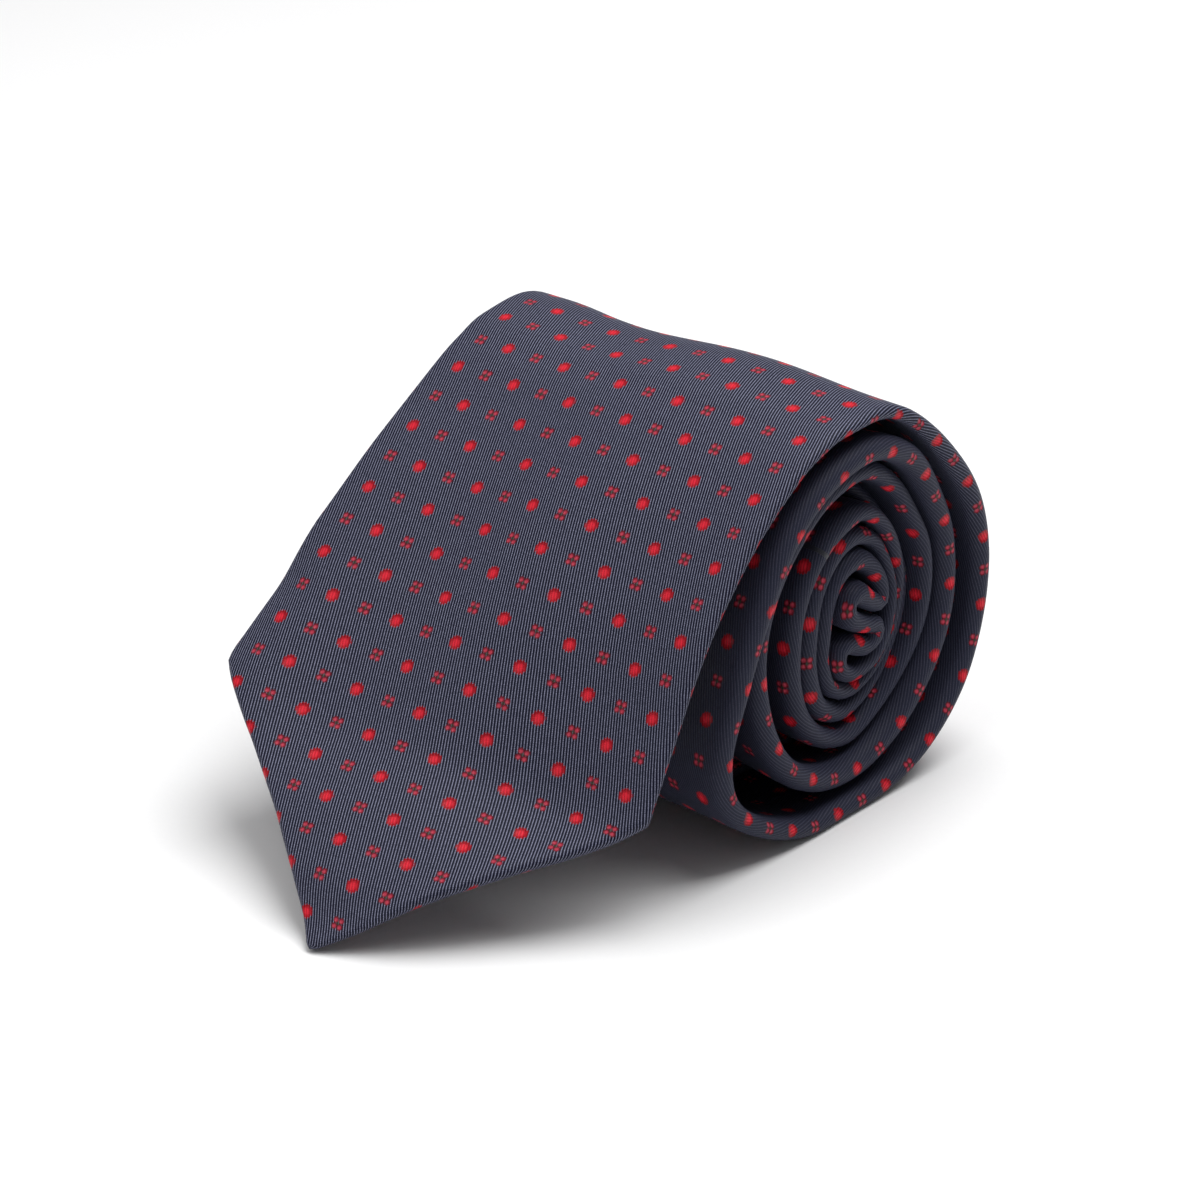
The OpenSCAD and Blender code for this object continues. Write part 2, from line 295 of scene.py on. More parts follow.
def eased(values, reach=9):
    """A running mean that never goes above the values themselves."""
    kernel = np.ones(reach) / reach
    low = np.array([values[max(0, i - reach // 2): i + reach // 2 + 1].min()
                    for i in range(len(values))])
    padded = np.pad(low, reach // 2, mode="edge")
    return np.minimum(np.convolve(padded, kernel, mode="valid"), values)


FOLD_OUT = eased(np.clip(OUT_ROOM / 2 - LAYER_GAP, 0.7, 2.1))
FOLD_IN = eased(np.clip(IN_ROOM / 2 - LAYER_GAP, 0.7, 2.5))


def fold_swell(s):
    """Half thicknesses outwards and inwards at the soft right fold."""
    grow = smooth((s - 120) / 50)
    base = half_t(s)
    outer = np.interp(s, LINE_S, FOLD_OUT)
    inner = np.interp(s, LINE_S, FOLD_IN)
    # the outermost turn swells outwards only where it is clear of the ground
    height = np.interp(s, LINE_S, LINE[:, 1])
    spare = 0.05 + 0.75 * smooth((height - 5) / 12) * smooth((s - 128) / 15)
    outer = np.where(s < 300, np.minimum(outer, base + spare), outer)
    return base + (outer - base) * grow, base + (inner - base) * grow


SHARP_DEGREES = 60.0   # a cut end is shaded as an edge, the folds aren't
ARC = 9                # points round each side fold
FRONT = 34             # points across the front
HEM = 9                # points across each turned hem


def section(s):
    """The folded silk's outer line at each s: arrays x and n, from the left hem's edge,
    round the left fold, the front and the right fold, to the right hem's edge."""
    s = np.asarray(s, float)[:, None]
    c, w, a = mid_x(s), half_w(s), half_t(s)
    swell_out, swell_in = fold_swell(s)
    reach = np.minimum(13.0, w * 0.8)
    turn = np.minimum(np.minimum(0.5 * (swell_out + swell_in) + 0.3, 2.6), w / 2.4)
    turn_l = np.minimum(np.minimum(a + 0.25, 1.5), w / 2.4)
    gap = np.minimum(back_gap(s), w - turn - 0.25)
    left, right = c - w, c + w

    def near_right(x):
        return smooth(1 - (right - turn - x) / reach)

    def n_front(x):
        return a + (swell_out - a) * near_right(x)

    def n_back(x):
        return -(a + (swell_in - a) * near_right(x))

    xs, ns = [], []
    for k in range(HEM):
        x = c - gap + (left + turn_l - c + gap) * k / HEM
        xs.append(x)
        ns.append(n_back(x))
    for k in range(ARC):
        phi = -math.pi / 2 - math.pi * k / (ARC - 1)
        xs.append(left + turn_l + turn_l * math.cos(phi) * np.ones_like(c))
        ns.append(a * math.sin(phi) * np.ones_like(c))
    for k in range(1, FRONT):
        x = left + turn_l + (right - turn - left - turn_l) * k / FRONT
        xs.append(x)
        ns.append(n_front(x))
    for k in range(ARC):
        phi = math.pi / 2 - math.pi * k / (ARC - 1)
        mid = (swell_out - swell_in) / 2
        xs.append(right - turn + turn * math.cos(phi))
        ns.append(mid + (swell_out + swell_in) / 2 * math.sin(phi))
    for k in range(1, HEM + 1):
        x = right - turn + (c + gap - right + turn) * k / HEM
        xs.append(x)
        ns.append(n_back(x))
    return np.concatenate(xs, axis=1), np.concatenate(ns, axis=1)


FRONT_MID = HEM + ARC + FRONT // 2     # the section point nearest the middle of the front
RIGHT_FOLD = HEM + ARC + FRONT - 1 + ARC // 2

# ---------------------------------------------------------------- the woven pattern's grid

PITCH = 6.5 * SCALE_K  # between the woven figures, both ways
COLUMN_AT = 0.58       # where the columns are across the blade, in pitches from its middle
RIGHT_COLUMN = 5.93    # the pitch number at the right fold


# how far the woven rows run ahead of the tie's own line, by distance from the point
pattern_creep = table([(0, 0.0), (12, 0.48), (26, 0.93), (53, 1.1), (88, 1.36), (122, 1.62)])


def cloth_u(s, x, n):
    """Distance across the silk, in pitches times PITCH, for each section point."""
    step = np.hypot(np.diff(x, axis=1), np.diff(n, axis=1))
    run = np.concatenate([np.zeros((len(s), 1)), np.cumsum(step, axis=1)], axis=1)
    from_mid = run - run[:, FRONT_MID][:, None]
    from_fold = run - run[:, RIGHT_FOLD][:, None]
    on_flap = x[:, FRONT_MID][:, None] - COLUMN_AT * PITCH + from_mid
    column = np.interp(s, [480, 600], [RIGHT_COLUMN, 5.45])[:, None]
    on_roll = column * PITCH + from_fold
    mix = smooth((s - 90) / 60)[:, None]
    return on_flap + (on_roll - on_flap) * mix


# ---------------------------------------------------------------- mesh making


def new_object(name, verts, faces, uvs=None, material=None):
    """A shaded mesh object from points in millimetres, with optional cloth coordinates."""
    mesh = bpy.data.meshes.new(name)
    mesh.from_pydata([tuple(v * MM) for v in np.asarray(verts, float)], [], faces)
    mesh.validate()
    mesh.polygons.foreach_set("use_smooth", [True] * len(mesh.polygons))
    if uvs is not None:
        layer = mesh.uv_layers.new(name="cloth")
        index = np.empty(len(mesh.loops), dtype=np.int32)
        mesh.loops.foreach_get("vertex_index", index)
        layer.data.foreach_set("uv", np.asarray(uvs, np.float32)[index].ravel())
    obj = bpy.data.objects.new(name, mesh)
    bpy.context.collection.objects.link(obj)
    if material is not None:
        mesh.materials.append(material)
    return obj


def ring_faces(rows, cols, closed_cols=True):
    """Quads of a grid of rows by cols points, which may close round its columns."""
    faces = []
    span = cols if closed_cols else cols - 1
    for i in range(rows - 1):
        for j in range(span):
            a, b = i * cols + j, i * cols + (j + 1) % cols
            faces.append((a, a + cols, b + cols, b))
    return faces


def stations(s0, s1, step=1.5):
    count = max(2, int(math.ceil((s1 - s0) / step)) + 1)
    return np.linspace(s0, s1, count)


def inward(x, n, t):
    """The section moved inwards by t, for the silk's other face."""
    dx = np.gradient(x, axis=1)
    dn = np.gradient(n, axis=1)
    size = np.maximum(np.hypot(dx, dn), 1e-6)
    return x + dn / size * t, n - dx / size * t


def silk_length(name, s0, s1, material, shift=(0.0, 0.0), step=1.5):
    """A length of the folded silk as a closed shell with both its faces and its hem edges."""
    s = stations(s0, s1, step)
    x, n = section(s)
    t = np.minimum(SILK_T, 0.35 * np.minimum(half_w(s), 2 * half_t(s)))[:, None]
    xi, ni = inward(x, n, t)
    u = cloth_u(s, x, n)
    cols = x.shape[1]
    s_col = s[:, None] + 0 * x
    outer = place(s_col, x, n)
    inner = place(s_col, xi, ni)
    grid = np.concatenate([outer, inner[:, ::-1]], axis=1)
    uv_u = np.concatenate([u, u[:, ::-1]], axis=1) + shift[0]
    v_col = s_col + pattern_creep(s_col)
    uv_v = np.concatenate([v_col, v_col[:, ::-1]], axis=1) + shift[1]
    if s0 <= 0:
        tip = grid[0].mean(axis=0) + (grid[0].mean(axis=0) - grid[1].mean(axis=0)) * 0.5
        grid = np.concatenate([(tip + (grid[0] - tip) * 0.04)[None],
                               (tip + (grid[0] - tip) * 0.6)[None], grid])
        uv_u = np.concatenate([uv_u[:1], uv_u[:1], uv_u])
        uv_v = np.concatenate([uv_v[:1] - 0.6, uv_v[:1] - 0.3, uv_v])
    if s1 >= TIE_L:
        tip = grid[-1].mean(axis=0) + (grid[-1].mean(axis=0) - grid[-2].mean(axis=0)) * 0.5
        grid = np.concatenate([grid, (tip + (grid[-1] - tip) * 0.6)[None],
                               (tip + (grid[-1] - tip) * 0.04)[None]])
        uv_u = np.concatenate([uv_u, uv_u[-1:], uv_u[-1:]])
        uv_v = np.concatenate([uv_v, uv_v[-1:] + 0.3, uv_v[-1:] + 0.6])
    rows, wide = grid.shape[0], grid.shape[1]
    faces = ring_faces(rows, wide)
    last = (rows - 1) * wide
    for j in range(cols - 1):
        a, b = j, j + 1
        c, d = wide - 2 - j, wide - 1 - j
        faces.append((a, b, c, d))
        faces.append((last + d, last + c, last + b, last + a))
    uvs = np.stack([uv_u.ravel(), uv_v.ravel()], axis=1)
    obj = new_object(name, grid.reshape(-1, 3), faces, uvs, material)
    obj.data.set_sharp_from_angle(angle=math.radians(SHARP_DEGREES))
    girth = np.hypot(np.diff(x, axis=1), np.diff(n, axis=1)).sum(axis=1)
    return obj, float(np.max(girth)) * MM, float(np.mean(girth)) * (s1 - s0) * MM * MM


def strip(name, s, x0, x1, n0, n1, material, cross):
    """A flat strip of constant thickness that follows the tie, with rows at s."""
    s = np.asarray(s, float)
    x0, x1, n0, n1 = (np.broadcast_to(np.asarray(v, float), s.shape) for v in (x0, x1, n0, n1))
    f = np.linspace(0, 1, cross)
    xs = x0[:, None] + (x1 - x0)[:, None] * f
    s_col = s[:, None] + 0 * xs
    low = place(s_col, xs, n0[:, None] + 0 * xs)
    high = place(s_col, xs, n1[:, None] + 0 * xs)
    grid = np.concatenate([low, high[:, ::-1]], axis=1)
    uv = np.stack([np.concatenate([xs, xs[:, ::-1]], axis=1),
                   np.concatenate([s_col, s_col], axis=1)], axis=-1)
    rows, wide = grid.shape[:2]
    faces = ring_faces(rows, wide)
    last = (rows - 1) * wide
    for j in range(cross - 1):
        faces.append((j, j + 1, wide - 2 - j, wide - 1 - j))
        faces.append((last + wide - 1 - j, last + wide - 2 - j, last + j + 1, last + j))
    return new_object(name, grid.reshape(-1, 3), faces, uv.reshape(-1, 2), material)


THREAD_SIDES = 5


def tube(points, radius):
    """Points and faces of a closed round tube along points in millimetres."""
    sides = THREAD_SIDES
    points = np.asarray(points, float)
    along = np.gradient(points, axis=0)
    along /= np.linalg.norm(along, axis=1)[:, None]
    side = np.cross(along, (0.31, 0.52, 0.79))
    side /= np.linalg.norm(side, axis=1)[:, None]
    up = np.cross(along, side)
    angles = np.arange(sides) * 2 * math.pi / sides
    rings = (points[:, None] + radius * (side[:, None] * np.cos(angles)[None, :, None]
                                         + up[:, None] * np.sin(angles)[None, :, None]))
    faces = ring_faces(len(points), sides)
    last = (len(points) - 1) * sides
    faces.append(tuple(range(sides)))
    faces.append(tuple(last + j for j in reversed(range(sides))))
    return rings.reshape(-1, 3), faces


def tubes(name, paths, radius, material):
    """One object of several round threads."""
    verts, faces = [], []
    for path in paths:
        v, f = tube(path, radius)
        base = sum(len(p) for p in verts)
        verts.append(v)
        faces.extend(tuple(k + base for k in face) for face in f)
    return new_object(name, np.concatenate(verts), faces, None, material)


# ---------------------------------------------------------------- materials

class Nodes:
    """A small helper for writing a material's nodes as sums."""

    def __init__(self, name):
        self.material = bpy.data.materials.new(name)
        self.material.use_nodes = True
        self.tree = self.material.node_tree
        self.tree.nodes.clear()
        self.out = self.tree.nodes.new("ShaderNodeOutputMaterial")
        self.shader = self.tree.nodes.new("ShaderNodeBsdfPrincipled")
        self.tree.links.new(self.shader.outputs[0], self.out.inputs[0])

    def put(self, socket, value):
        if isinstance(value, bpy.types.NodeSocket):
            self.tree.links.new(value, socket)
        else:
            socket.default_value = value

    def math(self, op, a, b=0.0, c=0.0, clamp=False):
        node = self.tree.nodes.new("ShaderNodeMath")
        node.operation = op
        node.use_clamp = clamp
        for socket, value in zip(node.inputs, (a, b, c)):
            self.put(socket, value)
        return node.outputs[0]

    def mix(self, factor, a, b):
        node = self.tree.nodes.new("ShaderNodeMix")
        node.data_type = "RGBA"
        self.put(node.inputs[0], factor)
        self.put(node.inputs[6], a)
        self.put(node.inputs[7], b)
        return node.outputs[2]

    def mix_value(self, factor, a, b):
        node = self.tree.nodes.new("ShaderNodeMix")
        self.put(node.inputs[0], factor)
        self.put(node.inputs[2], a)
        self.put(node.inputs[3], b)
        return node.outputs[0]

    def step(self, value, low, high, to_low=0.0, to_high=1.0):
        node = self.tree.nodes.new("ShaderNodeMapRange")
        node.interpolation_type = "SMOOTHSTEP"
        for socket, v in zip(node.inputs, (value, low, high, to_low, to_high)):
            self.put(socket, v)
        return node.outputs[0]

    def cloth(self):
        node = self.tree.nodes.new("ShaderNodeUVMap")
        node.uv_map = "cloth"
        split = self.tree.nodes.new("ShaderNodeSeparateXYZ")
        self.tree.links.new(node.outputs[0], split.inputs[0])
        return node.outputs[0], split.outputs[0], split.outputs[1]

    def place_in_object(self):
        return self.tree.nodes.new("ShaderNodeTexCoord").outputs["Object"]

    def noise(self, vector, scale, detail=2.0, rough=0.5):
        node = self.tree.nodes.new("ShaderNodeTexNoise")
        self.put(node.inputs["Vector"], vector)
        node.inputs["Scale"].default_value = scale
        node.inputs["Detail"].default_value = detail
        node.inputs["Roughness"].default_value = rough
        return node.outputs[0]

    def bump(self, height, distance, strength=1.0, normal=None):
        node = self.tree.nodes.new("ShaderNodeBump")
        node.inputs["Strength"].default_value = strength
        node.inputs["Distance"].default_value = distance
        self.put(node.inputs["Height"], height)
        if normal is not None:
            self.tree.links.new(normal, node.inputs["Normal"])
        return node.outputs[0]


RIB_U, RIB_V = 1.79, 0.57     # the twill's ribs per millimetre across and along the silk
FLOAT_U, FLOAT_V = 1.35, 2.45
FIRST_ROW = 7.75              # where the rows of figures start, in pitches
SPOT_R = 1.38                 # a round spot's radius at its ragged edge
PETAL_OFF, PETAL_R = 0.56, 0.74
TURNS_FROM, TURNS_TO = 115.0, 190.0   # where the flap's painted rib sheen fades into the turns' flat, darker tone, a painted shade
GROUND_DARK = (0.0025, 0.0035, 0.015, 1)
# the rib crests' colour: partly the lighter woven threads, partly a painted sheen
GROUND_THREAD_SHEEN = (0.33, 0.34, 0.475, 1)
GROUND_SHADE = (0.03, 0.033, 0.056, 1)
# SPOT_LIGHT is partly the spots' woven red, partly a painted highlight on their raised middles
SPOT_DARK, SPOT_LIGHT = (0.2, 0.003, 0.008, 1), (0.88, 0.026, 0.05, 1)
# PETAL_LIGHT is partly the petals' own pinker centres, partly a painted highlight on the raised
# petals
PETAL_DARK, PETAL_LIGHT = (0.085, 0.006, 0.012, 1), (0.5, 0.045, 0.08, 1)
FLOWER_HEART = (0.05, 0.045, 0.025, 1)


def silk_material():
    m = Nodes("silk_twill")
    uv, u, v = m.cloth()
    # the twill's ribs, and the short floats that make each one up
    phase = m.math("ADD", m.math("MULTIPLY", u, RIB_U), m.math("MULTIPLY", v, RIB_V))
    wave = m.math("MULTIPLY_ADD", m.math("SINE", m.math("MULTIPLY", phase, 2 * math.pi)), 0.5, 0.5)
    cross = m.math("SUBTRACT", m.math("MULTIPLY", u, FLOAT_U), m.math("MULTIPLY", v, FLOAT_V))
    floats = m.math("SINE", m.math("MULTIPLY", cross, 2 * math.pi))
    floats = m.math("MULTIPLY_ADD", floats, 0.5, 0.5)
    slub = m.noise(uv, 0.9, 3.0, 0.6)
    fleck = m.noise(uv, 3.2, 2.0, 0.7)
    shade = m.noise(uv, 0.035, 2.0, 0.5)
    # the woven figures: round spots and four-petal flowers in turn
    pu = m.math("DIVIDE", u, PITCH)
    pv = m.math("SUBTRACT", m.math("DIVIDE", v, PITCH), FIRST_ROW)
    iu, iv = m.math("ROUND", pu), m.math("ROUND", pv)
    du = m.math("MULTIPLY", m.math("SUBTRACT", pu, iu), PITCH)
    dv = m.math("MULTIPLY", m.math("SUBTRACT", pv, iv), PITCH)
    odd = m.math("MODULO", m.math("ABSOLUTE", m.math("ADD", iu, iv)), 2.0)
    is_flower = m.math("GREATER_THAN", odd, 0.5)
    is_spot = m.math("SUBTRACT", 1.0, is_flower)
    ragged = m.math("ADD", m.math("MULTIPLY", m.math("SUBTRACT", wave, 0.5), 0.26),
                    m.math("MULTIPLY", m.math("SUBTRACT", fleck, 0.5), 0.35))
    radius = m.math("SQRT", m.math("ADD", m.math("MULTIPLY", du, du), m.math("MULTIPLY", dv, dv)))
    spot_edge = m.math("ADD", radius, ragged)
    spot = m.math("MULTIPLY", m.step(spot_edge, SPOT_R, SPOT_R - 0.18), is_spot)
    pu_off = m.math("SUBTRACT", m.math("ABSOLUTE", du), PETAL_OFF)
    pv_off = m.math("SUBTRACT", m.math("ABSOLUTE", dv), PETAL_OFF)
    petal_r = m.math("SQRT", m.math("ADD", m.math("MULTIPLY", pu_off, pu_off),
                                    m.math("MULTIPLY", pv_off, pv_off)))
    petal = m.math("MULTIPLY", m.step(m.math("ADD", petal_r, m.math("MULTIPLY", ragged, 0.5)),
                                      PETAL_R, PETAL_R - 0.24), is_flower)
    heart = m.math("MULTIPLY", m.step(radius, 0.42, 0.2), is_flower)
    # colours; the rib crests are lighter, partly the lighter threads' own colour and partly a
    # painted sheen
    crest = m.math("POWER", wave, 4.6)
    lift = m.math("MULTIPLY", crest, m.math("MULTIPLY_ADD", fleck, 2.0, -0.2))
    lift = m.math("MULTIPLY", lift, m.math("MULTIPLY_ADD", floats, 0.35, 0.75))
    lift = m.math("MULTIPLY", lift, m.math("MULTIPLY_ADD", slub, 0.4, 0.8), clamp=True)
    # painted shade: towards the roll's turns the rib sheen gives way to one flat, darker tone
    turns_shade = m.step(v, TURNS_FROM, TURNS_TO)
    lift = m.mix_value(m.math("MULTIPLY", turns_shade, 0.86), lift, 0.062)
    ground = m.mix(lift, GROUND_DARK, GROUND_THREAD_SHEEN)
    ground = m.mix(m.math("MULTIPLY", shade, 0.12), ground, GROUND_SHADE)
    # painted highlight: each spot is lighter in its middle, as a lit dome would be
    spot_highlight_mask = m.step(radius, 1.15, 0.3)
    spot_highlight = m.math("MULTIPLY", spot_highlight_mask, 0.5)
    red = m.mix(m.math("MULTIPLY_ADD", wave, 0.35, spot_highlight, clamp=True), SPOT_DARK, SPOT_LIGHT)
    # each petal is lighter towards its middle: partly its own pinker centre, partly a painted
    # highlight
    petal_red = m.mix(m.math("MULTIPLY", m.step(petal_r, 0.6, 0.15), 0.95), PETAL_DARK,
                      PETAL_LIGHT)
    colour = m.mix(spot, ground, red)
    colour = m.mix(petal, colour, petal_red)
    colour = m.mix(m.math("MULTIPLY", heart, 0.7), colour, FLOWER_HEART)
    m.put(m.shader.inputs["Base Color"], colour)
    # figures stand up a little from the ribs
    dome = m.math("MULTIPLY", m.step(spot_edge, 1.4, 0.5), is_spot)
    petal_dome = m.math("MULTIPLY", m.step(petal_r, 0.62, 0.1), is_flower)
    figure = m.math("ADD", dome, m.math("MULTIPLY", petal_dome, 0.8))
    height = m.math("ADD", m.math("MULTIPLY", wave, 0.32), m.math("MULTIPLY", floats, 0.07))
    height = m.math("ADD", height, m.math("MULTIPLY", fleck, 0.14))
    height = m.math("ADD", height, m.math("MULTIPLY", figure, 1.5))
    m.put(m.shader.inputs["Normal"], m.bump(height, 0.00016, 0.9))
    gloss = m.math("MULTIPLY_ADD", m.math("ADD", spot, petal), -0.08, 0.5)
    gloss = m.math("ADD", gloss, m.math("MULTIPLY", m.math("SUBTRACT", slub, 0.5), 0.16))
    m.put(m.shader.inputs["Roughness"], gloss)
    m.shader.inputs["Specular IOR Level"].default_value = 0.12
    m.shader.inputs["Sheen Weight"].default_value = 0.04
    m.shader.inputs["Sheen Roughness"].default_value = 0.35
    m.shader.inputs["Sheen Tint"].default_value = (0.55, 0.62, 0.85, 1)
    return m.material


def woven_material(name, dark, light, threads, height, rough, sheen, fuzz=0.2):
    """A plain cloth: two sets of threads, a little mottling, and fibres."""
    m = Nodes(name)
    uv, u, v = m.cloth()
    warp = m.math("SINE", m.math("MULTIPLY", u, 2 * math.pi * threads))
    weft = m.math("SINE", m.math("MULTIPLY", v, 2 * math.pi * threads * 0.9))
    weave = m.math("MULTIPLY_ADD", m.math("MULTIPLY", warp, weft), 0.5, 0.5)
    fibre = m.noise(uv, 2.4, 4.0, 0.65)
    blotch = m.noise(uv, 0.06, 2.0, 0.5)
    tone = m.math("ADD", m.math("MULTIPLY", weave, 0.45), m.math("MULTIPLY", fibre, 0.5 + fuzz))
    tone = m.math("ADD", tone, m.math("MULTIPLY", m.math("SUBTRACT", blotch, 0.5), 0.5), clamp=True)
    m.put(m.shader.inputs["Base Color"], m.mix(tone, dark, light))
    surface = m.math("ADD", m.math("MULTIPLY", weave, 0.7), m.math("MULTIPLY", fibre, fuzz * 2))
    m.put(m.shader.inputs["Normal"], m.bump(surface, height, 0.8))
    m.put(m.shader.inputs["Roughness"], m.math("MULTIPLY_ADD", fibre, 0.25, rough - 0.12))
    m.shader.inputs["Sheen Weight"].default_value = sheen
    m.shader.inputs["Sheen Roughness"].default_value = 0.4
    return m.material


def thread_material():
    """Twisted sewing thread: plies that wind round, with a silky shine."""
    m = Nodes("sewing_thread")
    scaled = m.tree.nodes.new("ShaderNodeVectorMath")
    scaled.operation = "SCALE"
    m.tree.links.new(m.place_in_object(), scaled.inputs[0])
    scaled.inputs["Scale"].default_value = 1000.0
    split = m.tree.nodes.new("ShaderNodeSeparateXYZ")
    m.tree.links.new(scaled.outputs[0], split.inputs[0])
    lean = m.math("ADD", split.outputs[0], m.math("ADD", split.outputs[1], split.outputs[2]))
    ply = m.math("MULTIPLY_ADD", m.math("SINE", m.math("MULTIPLY", lean, 14.0)), 0.5, 0.5)
    fibre = m.noise(scaled.outputs[0], 5.0, 3.0, 0.6)
    tone = m.math("ADD", m.math("MULTIPLY", ply, 0.6), m.math("MULTIPLY", fibre, 0.5), clamp=True)
    m.put(m.shader.inputs["Base Color"],
          m.mix(tone, (0.012, 0.013, 0.024, 1), (0.05, 0.055, 0.09, 1)))
    m.put(m.shader.inputs["Normal"], m.bump(m.math("ADD", ply, fibre), 0.00004, 0.8))
    m.put(m.shader.inputs["Roughness"], m.math("MULTIPLY_ADD", fibre, 0.2, 0.38))
    m.shader.inputs["Sheen Weight"].default_value = 0.2
    return m.material


def floor_material():
    m = Nodes("white_paper")
    grain = m.noise(m.place_in_object(), 900.0, 4.0, 0.6)
    m.put(m.shader.inputs["Base Color"],
          m.mix(grain, (0.93, 0.93, 0.935, 1), (0.96, 0.96, 0.96, 1)))
    m.shader.inputs["Roughness"].default_value = 0.9
    m.shader.inputs["Specular IOR Level"].default_value = 0.1
    return m.material


silk = silk_material()
lining = woven_material("satin_lining", (0.010, 0.011, 0.02, 1), (0.035, 0.038, 0.062, 1),
                        2.4, 0.00003, 0.42, 0.1)
wool = woven_material("wool_interlining", (0.5, 0.46, 0.38, 1), (0.8, 0.77, 0.68, 1),
                      1.1, 0.00012, 0.9, 0.5, fuzz=0.5)
label_cloth = woven_material("label_satin", (0.009, 0.01, 0.018, 1), (0.04, 0.043, 0.07, 1),
                             3.0, 0.00003, 0.35, 0.1)
care_cloth = woven_material("care_satin", (0.62, 0.62, 0.6, 1), (0.83, 0.83, 0.81, 1),
                            3.0, 0.00003, 0.4, 0.1)
thread = thread_material()

# ---------------------------------------------------------------- the silk

def panel(name, s0, s1, node, shift=(0.0, 0.0)):
    """A length of silk that stands for one CAD node."""
    obj, wide, area = silk_length(name, s0, s1, silk, shift)
    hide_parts(node)
    return obj


front_silk = panel("silk_blade_front", 0.0, FRONT_END, "blade_shell_flap")
roll_silk = panel("silk_blade_roll", FRONT_END, BLADE_SEAM - 0.4, "blade_shell_roll")
neck_silk = panel("silk_neck", BLADE_SEAM + 0.4, TAIL_SEAM - 0.4, "neck_shell",
                  (2.3, 1.9))
tail_silk = panel("silk_tail", TAIL_SEAM + 0.4, TIE_L, "tail_shell",
                  (-1.4, 4.2))

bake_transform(front_silk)
for obj in (roll_silk, neck_silk, tail_silk):
    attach(obj, "roll")

# ---------------------------------------------------------------- interlining and lining


TIPPING_ROOM = 0.17    # left between the interlining and the hems for the tipping
TIPPING_UNDER = 0.55   # how far the tipping goes under each hem


def lining_span(s):
    """The interlining's left and right edges, back and front, inside the folds."""
    a = half_t(s)
    w = half_w(s) - 1.1 * a - 0.35
    n = a - np.minimum(SILK_T, 0.7 * a) - 0.05
    return mid_x(s) - w, mid_x(s) + w, TIPPING_ROOM - n, n


def padding(name, s0, s1, node):
    """A length of the interlining, which fills the folded silk."""
    s = stations(s0, s1, 2.5)
    x0, x1, n0, n1 = lining_span(s)
    obj = strip(name, s, x0, x1, n0, n1, wool, cross=30)
    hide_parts(node)
    return obj


front_wool = padding("interlining_front", 5.0, FRONT_END, "blade_interlining_flap")
roll_wool = padding("interlining_roll", FRONT_END, INTERLINING_JOIN, "blade_interlining_roll")
tail_wool = padding("interlining_tail", INTERLINING_JOIN + 0.4, TIE_L - 5, "tail_interlining")
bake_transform(front_wool)
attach(roll_wool, "roll")
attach(tail_wool, "roll")


def tipping(name, s0, s1, node, body):
    """The lining that shows between the turned hems at the back of a point."""
    s = stations(s0, s1, 2.0)
    g = np.minimum(back_gap(s), half_w(s) - half_t(s) - 0.2) + TIPPING_UNDER
    a = half_t(s)
    obj = strip(name, s, mid_x(s) - g, mid_x(s) + g, -a + 0.48, -a + 0.56, lining, cross=24)
    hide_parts(node)
    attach(obj, body)


tipping("tipping_blade", 13.0, BLADE_TACK - 1.5, "blade_tipping", "front_flap")
tipping("tipping_tail", TIE_L - TAIL_TACK + 1.5, TIE_L - 9, "tail_tipping", "roll")

# ---------------------------------------------------------------- stitches, loop and labels


def on_back(s, x, below):
    """A point on the back of the tie, below the back surface by so many millimetres."""
    s = np.asarray(s, float)
    return place(s, x + 0 * s, -half_t(s) - below)


def tack(name, at, length, node, body):
    """A bar tack: a ladder of close stitches over two lengthwise threads."""
    pitch = 0.42
    mid = float(mid_x(np.array([at]))[0])
    paths = []
    for ds in (0.25, 0.95):
        xs = np.linspace(-length / 2, length / 2, 9)
        paths.append(np.array([on_back([at + ds], mid + x, 0.14)[0] for x in xs]))
    for k in range(int(length / pitch)):
        x = -length / 2 + 0.2 + k * pitch
        ds = np.linspace(-0.1, 1.3, 6)
        lift = 0.24 + 0.12 * np.sin(np.linspace(0, math.pi, 6))
        paths.append(np.array([on_back([at + d], mid + x, float(h))[0] for d, h in zip(ds, lift)]))
    obj = tubes(name, paths, 0.13, thread)
    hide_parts(node)
    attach(obj, body)


tack("tack_blade", BLADE_TACK, 7.0, "blade_bar_tack", "front_flap")
tack("tack_tail", TIE_L - TAIL_TACK, 6.0, "tail_bar_tack", "roll")


def slip_stitch():
    """The long loose thread that closes the back: short stitches from hem to hem."""
    every = 8.0
    s = np.arange(BLADE_TACK + 14.0, TIE_L - TAIL_TACK - 2, 1.0)
    side = 0.32 * np.sin(s * 2 * math.pi / every)
    path = place(s, mid_x(s) + side, -half_t(s) + 0.17)
    obj = tubes("slip_stitches", [path], 0.11, thread)
    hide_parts("slip_stitch")
    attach(obj, "roll")


slip_stitch()


